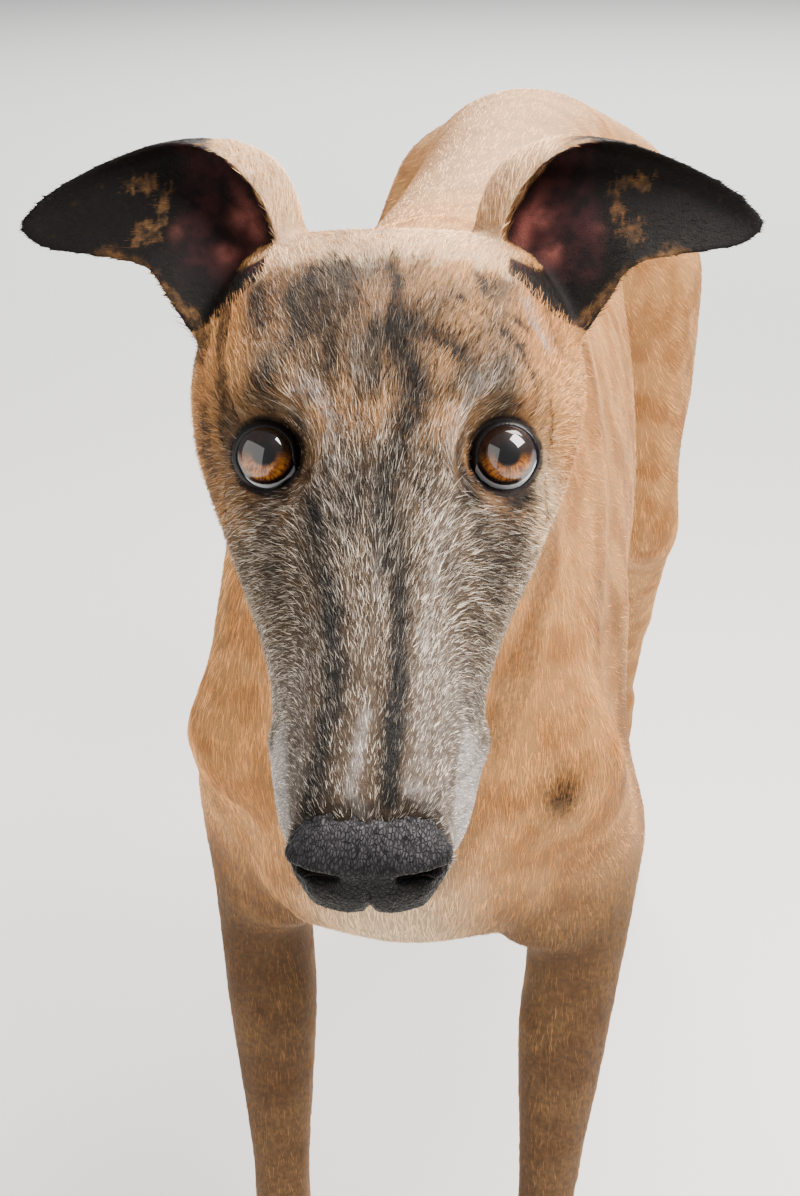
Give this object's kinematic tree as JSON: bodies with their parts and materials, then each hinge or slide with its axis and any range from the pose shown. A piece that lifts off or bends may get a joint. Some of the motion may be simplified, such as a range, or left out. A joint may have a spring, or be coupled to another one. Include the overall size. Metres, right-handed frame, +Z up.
{
  "type": "greyhound",
  "caption": "Standing greyhound as a still, life-size model: deep chest, tucked belly, long narrow head a little lowered and turned, ears folded outwards, tail hanging",
  "frame": {"origin": "On the floor under the middle of the dog, half way along its box and half way across it", "axes": "+Z up, the dog faces -Y, +X is the dog's left side"},
  "size_m": [0.2598, 1.1314, 0.7845],
  "materials": {
    "coat": "short flat fur, brindle fawn with a greying face",
    "paw": "short flat fur over the toes, dark horn claws",
    "ear_skin": "thin near-black fur outside, bare maroon skin inside",
    "eye": "wet glossy amber eye",
    "nose_leather": "pebbled charcoal nose leather, soft sheen"
  },
  "bodies": {
    "root": {"torso": "coat", "neck": "coat", "head": "coat", "lower_jaw": "coat", "foreleg_left": "coat", "foreleg_right": "coat", "hindleg_left": "coat", "hindleg_right": "coat", "tail_base": "coat", "tail_tip": "coat", "forepaw_left": "paw", "forepaw_right": "paw", "hindpaw_left": "paw", "hindpaw_right": "paw", "ear_left": "ear_skin", "ear_right": "ear_skin", "eye_left": "eye", "eye_right": "eye", "nose": "nose_leather"}
  },
  "joints": []
}
